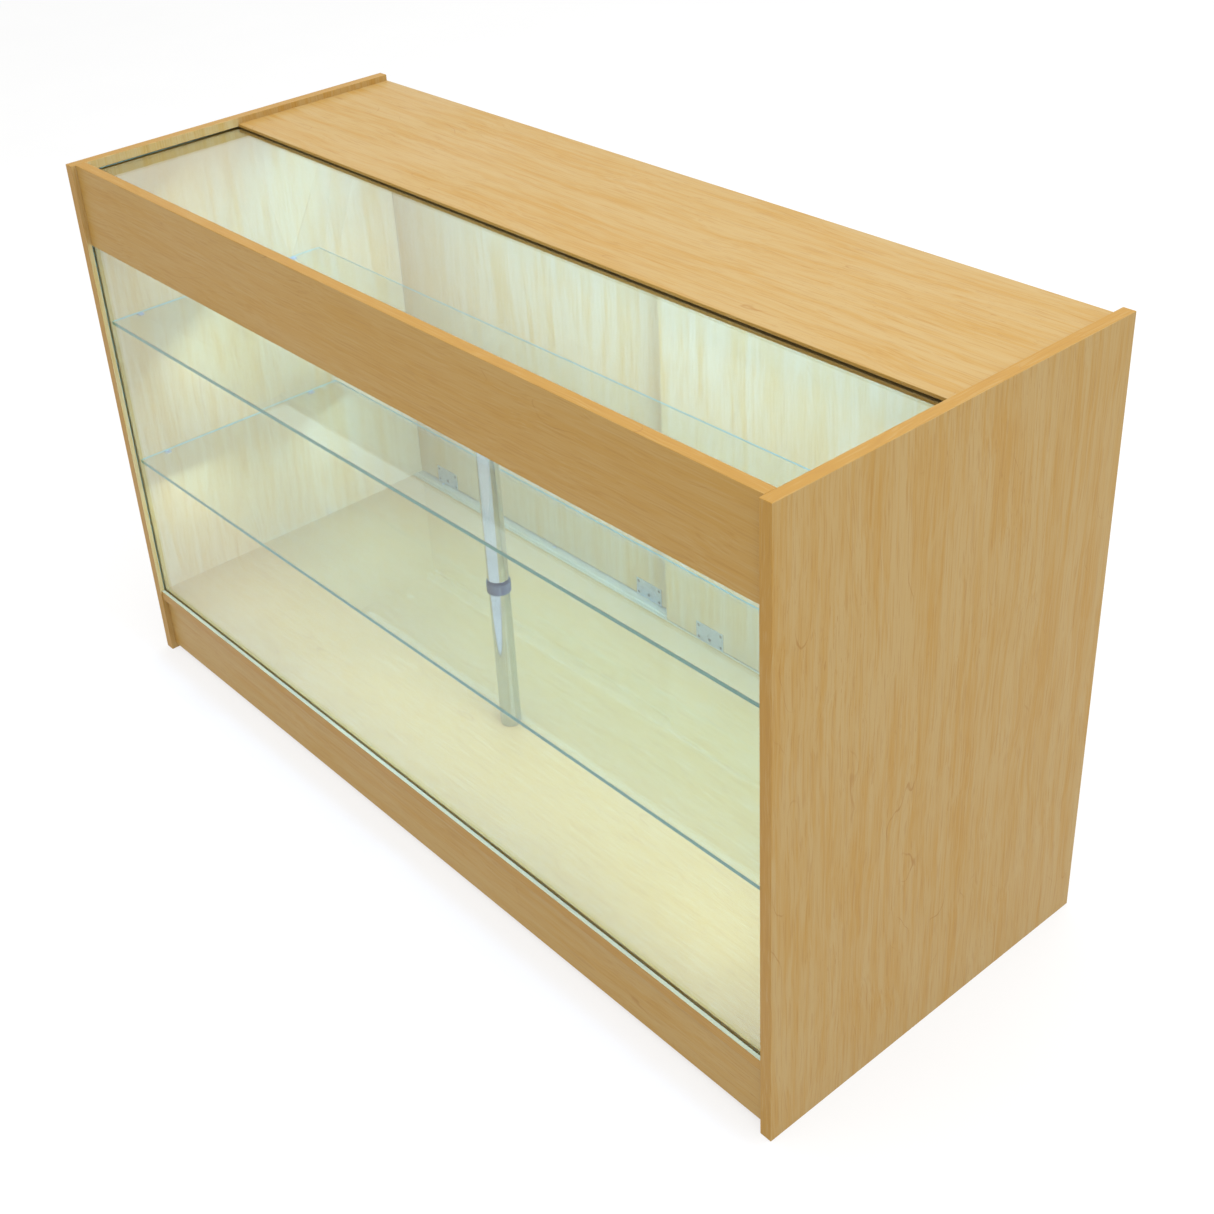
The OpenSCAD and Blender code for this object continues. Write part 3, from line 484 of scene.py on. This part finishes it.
def dress_the_rest():
    dress(glass("front_glass", "Y", CLEAR_TINT), "front_glass")
    dress(glass("top_glass", "Z", CLEAR_TINT), "top_glass")
    dress(glass("shelf_glass", "Z", SHELF_TINT), "lower_shelf", "upper_shelf")
    dress(clear_plastic("clear_plastic"), "shelf_pegs", "column_top_pad")
    dress(glowing_diffuser("lit_cover"), "light_cover")
    chrome = polished_metal("polished_chrome", (0.62, 0.68, 0.64), (0.54, 0.60, 0.56), 0.06)
    dress(chrome, "lower_column_tube", "upper_column_tube", "left_door_pull", "right_door_pull",
          "lock_housing", "lock_cylinder")
    dress(polished_metal("brass_plug", (0.80, 0.60, 0.28), (0.60, 0.44, 0.20), 0.22), "lock_plug")
    dress(zinc_plate("zinc_plated_steel"),
          "tie_rod", "tie_rod_nuts", "tie_rod_washer", "track_screws", "cam_housings", "cam_bolts",
          "light_clips", "light_clip_screws", "lock_strike",
          "left_door_roller_housings", "right_door_roller_housings")
    dress(polished_metal("dark_steel", (0.20, 0.22, 0.22), (0.28, 0.30, 0.29), 0.35),
          "left_door_axles", "left_door_roller_screws", "right_door_axles", "right_door_roller_screws")
    dress(extruded_aluminium("champagne_aluminium", (0.62, 0.50, 0.24), (0.54, 0.44, 0.22)),
          "lower_door_track")
    dress(extruded_aluminium("natural_aluminium", (0.60, 0.62, 0.63), (0.50, 0.52, 0.53)),
          "light_profile")
    dress(moulded_plastic("dark_plastic", (0.018, 0.021, 0.024), (0.032, 0.036, 0.040), 0.42),
          "column_collar", "column_plugs", "light_end_caps", "light_socket")
    dress(moulded_plastic("black_rubber", (0.018, 0.018, 0.018), (0.030, 0.030, 0.030), 0.6),
          "column_glass_washers")
    dress(moulded_plastic("white_plastic", (0.78, 0.78, 0.75), (0.70, 0.70, 0.66), 0.35),
          "upper_door_track", "left_door_top_guides", "right_door_top_guides", "light_board",
          "left_door_left_wheel", "left_door_right_wheel",
          "right_door_left_wheel", "right_door_right_wheel")
    dress(light_chip("light_chips"), "light_leds")
    dress(beech_dowel("beech_wood"), "dowels")


# ---- Softened edges ----

PANES = ("front_glass", "top_glass", "lower_shelf", "upper_shelf")
BOARD_EDGE_RADIUS = 0.8 * MM
GLASS_EDGE_RADIUS = 0.5 * MM


def soften_edges(name, radius):
    """Rounds a node's sharp edges with modifiers, so that they catch the light."""
    node = NODES[name]
    weld = node.modifiers.new("join_corners", "WELD")
    weld.merge_threshold = 0.01 * MM
    flat = node.modifiers.new("join_flat_faces", "DECIMATE")
    flat.decimate_type = "DISSOLVE"
    flat.angle_limit = math.radians(0.2)
    bevel = node.modifiers.new("round_edges", "BEVEL")
    bevel.width = radius
    bevel.segments = 3
    bevel.limit_method = "ANGLE"
    bevel.angle_limit = math.radians(40)
    bevel.use_clamp_overlap = False
    bevel.harden_normals = False


# ---- Lights, floor and camera ----

def area_light(name, place, aim, size, power, colour=(1.0, 1.0, 1.0), size_y=None):
    lamp = bpy.data.lights.new(name, "AREA")
    lamp.shape = "RECTANGLE"
    lamp.size = size
    lamp.size_y = size_y or size
    lamp.energy = power
    lamp.color = colour
    holder = bpy.data.objects.new(name, lamp)
    bpy.context.scene.collection.objects.link(holder)
    holder.location = place
    holder.rotation_euler = (Vector(aim) - Vector(place)).to_track_quat("-Z", "Y").to_euler()
    return holder


def hide_from_mirrors(lamp):
    """Lets a lamp light things without being seen itself."""
    lamp.visible_camera = False
    lamp.visible_glossy = False
    lamp.visible_transmission = False


def light_bar_glow():
    """The light that the bar throws down, as a strip lamp just below its cover."""
    low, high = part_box("light_cover")
    place = ((low.x + high.x) / 2, (low.y + high.y) / 2, low.z - 1.0 * MM)
    length = (high.x - low.x) - 2 * CHIP_PITCH
    straight_down = (place[0], place[1], 0.0)
    lamp = area_light("light_bar_glow", place, straight_down, length, GLOW_POWER, GLOW_COLOUR,
                      size_y=high.y - low.y)
    hide_from_mirrors(lamp)
    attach(lamp, "carcass")


def level_by_ray(nodes, links, level, **levels):
    """One level of light, with other levels for the kinds of light ray that are named."""
    path = nodes.new("ShaderNodeLightPath")
    for ray, other_level in levels.items():
        choice = nodes.new("ShaderNodeMapRange")
        links.new(path.outputs[ray.replace("_", " ")], choice.inputs["Value"])
        if isinstance(level, bpy.types.NodeSocket):
            links.new(level, choice.inputs["To Min"])
        else:
            choice.inputs["To Min"].default_value = level
        choice.inputs["To Max"].default_value = other_level
        level = choice.outputs[0]
    return level


WORLD_LEVEL = 0.80
WORLD_LEVEL_IN_MIRRORS = 0.55
WORLD_LEVEL_IN_VIEW = 1.0


def world_light():
    """White all round. Mirrors see less of it, as through a polarising filter."""
    world = bpy.data.worlds.new("studio")
    world.use_nodes = True
    nodes, links = world.node_tree.nodes, world.node_tree.links
    background = nodes["Background"]
    background.inputs["Color"].default_value = (1.0, 1.0, 1.0, 1.0)
    level = level_by_ray(nodes, links, WORLD_LEVEL,
                         Is_Glossy_Ray=WORLD_LEVEL_IN_MIRRORS, Is_Camera_Ray=WORLD_LEVEL_IN_VIEW)
    links.new(level, background.inputs["Strength"])
    bpy.context.scene.world = world


FLOOR_HALF_WIDTH = 16.0
FLOOR_GLOW = 0.48
FLOOR_GLOW_IN_VIEW = 0.68


def studio_floor():
    """A wide pale floor, faintly mottled, that glows a little so that it reads as white."""
    mesh = bpy.data.meshes.new("floor")
    maker = bmesh.new()
    bmesh.ops.create_grid(maker, x_segments=8, y_segments=8, size=FLOOR_HALF_WIDTH)
    maker.to_mesh(mesh)
    maker.free()
    floor = bpy.data.objects.new("floor", mesh)
    bpy.context.scene.collection.objects.link(floor)
    tree = Tree("pale_floor")
    mottle = tree.noise(tree.coordinates.outputs["Object"], 3.0, 4.0)
    shader = tree.surface(
        Base_Color=tree.mix(mottle, (0.29, 0.29, 0.29), (0.31, 0.31, 0.31)),
        Roughness=0.9,
        Specular_IOR_Level=0.0,
        Emission_Color=(1.0, 1.0, 1.0),
        Emission_Strength=level_by_ray(tree.nodes, tree.links, FLOOR_GLOW,
                                       Is_Camera_Ray=FLOOR_GLOW_IN_VIEW),
    )
    mesh.materials.append(tree.finish(shader))


CAMERA_PLACE = Vector((1.7489, -1.3521, 1.7660))
CAMERA_AZIMUTH = math.radians(52.306)
CAMERA_ELEVATION = math.radians(30.483)
CAMERA_ROLL = math.radians(-4.365)
CAMERA_LENS = 51.48
CAMERA_SHIFT = (0.0540, -0.0796)


def studio_camera():
    """A camera in front, to the right and above, tilted a few degrees."""
    data = bpy.data.cameras.new("camera")
    data.sensor_width = 36.0
    data.lens = CAMERA_LENS
    data.shift_x, data.shift_y = CAMERA_SHIFT
    data.clip_start, data.clip_end = 0.05, 60.0
    camera = bpy.data.objects.new("camera", data)
    bpy.context.scene.collection.objects.link(camera)
    a, e, r = CAMERA_AZIMUTH, CAMERA_ELEVATION, CAMERA_ROLL
    back = Vector((math.sin(a) * math.cos(e), -math.cos(a) * math.cos(e), math.sin(e)))
    level_right = Vector((math.cos(a), math.sin(a), 0.0))
    level_up = back.cross(level_right)
    right = math.cos(r) * level_right + math.sin(r) * level_up
    up = -math.sin(r) * level_right + math.cos(r) * level_up
    turn = Matrix((right, up, back)).transposed().to_4x4()
    camera.matrix_world = Matrix.Translation(CAMERA_PLACE) @ turn
    bpy.context.scene.camera = camera


# Soft lamps inside the case, which are never seen themselves. Depths are along Y.
FILL_COLOUR = (0.62, 1.0, 1.75)
REAR_FILL_COLOUR = (0.50, 1.0, 2.50)
FILL_DROP = 45.0 * MM
FILL_STRIP_WIDTH = 0.12
BAY_HEIGHT = 0.35


def bay_fill(pane, depth, aim_depth, length, power, colour=FILL_COLOUR):
    """A strip lamp under a pane that lifts the bay below it."""
    pane_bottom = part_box(pane)[0].z
    place = (0.0, depth, pane_bottom - FILL_DROP)
    aim = (0.0, aim_depth, pane_bottom - BAY_HEIGHT)
    lamp = area_light(f"{pane}_fill", place, aim, length, power, colour, size_y=FILL_STRIP_WIDTH)
    hide_from_mirrors(lamp)


def bay_fills():
    """One strip over each of the two upper bays, and a front and a rear one over the lowest."""
    bay_fill("top_glass", depth=-0.16, aim_depth=0.0, length=1.36, power=1.7)
    bay_fill("upper_shelf", depth=-0.16, aim_depth=0.0, length=1.36, power=3.5)
    bay_fill("lower_shelf", depth=-0.21, aim_depth=-0.21, length=1.42, power=2.3)
    bay_fill("lower_shelf", depth=0.08, aim_depth=0.16, length=1.42, power=1.8,
             colour=REAR_FILL_COLOUR)


def corner_fill():
    """A small lamp over the deck's front right corner, which the strips' ends leave dim."""
    shelf_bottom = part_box("lower_shelf")[0].z
    place = (0.60, -0.20, shelf_bottom - FILL_DROP)
    aim = (0.66, -0.24, shelf_bottom - BAY_HEIGHT)
    lamp = area_light("corner_fill", place, aim, size=0.20, power=0.35, colour=FILL_COLOUR,
                      size_y=FILL_STRIP_WIDTH)
    hide_from_mirrors(lamp)


def end_fill():
    """A panel lamp inside the right-hand end that lifts the left-hand one."""
    place = (0.70, -0.03, 0.48)
    aim = (-0.73, -0.03, 0.46)
    lamp = area_light("end_fill", place, aim, size=0.36, power=4.4, colour=FILL_COLOUR, size_y=0.60)
    lamp.data.spread = math.radians(80)
    hide_from_mirrors(lamp)


def overhead_light():
    """A big soft light overhead, centred to the right of the case."""
    area_light("overhead", place=(2.2, 0.6, 4.2), aim=(2.2, 0.6, 0.0), size=8.0, power=240.0)


def rear_card():
    """A long white card standing behind and to the left, for the glass and chrome to mirror."""
    place = (-7.5, 6.5, 5.9)
    aim = (-7.5, -6.5, 5.9)
    area_light("rear_card", place, aim, size=17.0, power=150.0, colour=(1.0, 1.0, 0.90), size_y=6.2)


def studio():
    view = bpy.context.scene.view_settings
    view.view_transform = "Standard"
    view.look = "None"
    world_light()
    studio_floor()
    overhead_light()
    rear_card()
    bay_fills()
    corner_fill()
    end_fill()
    studio_camera()


dress_boards()
dress_the_rest()
for board in BOARDS:
    soften_edges(board, BOARD_EDGE_RADIUS)
for pane in PANES:
    soften_edges(pane, GLASS_EDGE_RADIUS)
light_bar_glow()
studio()
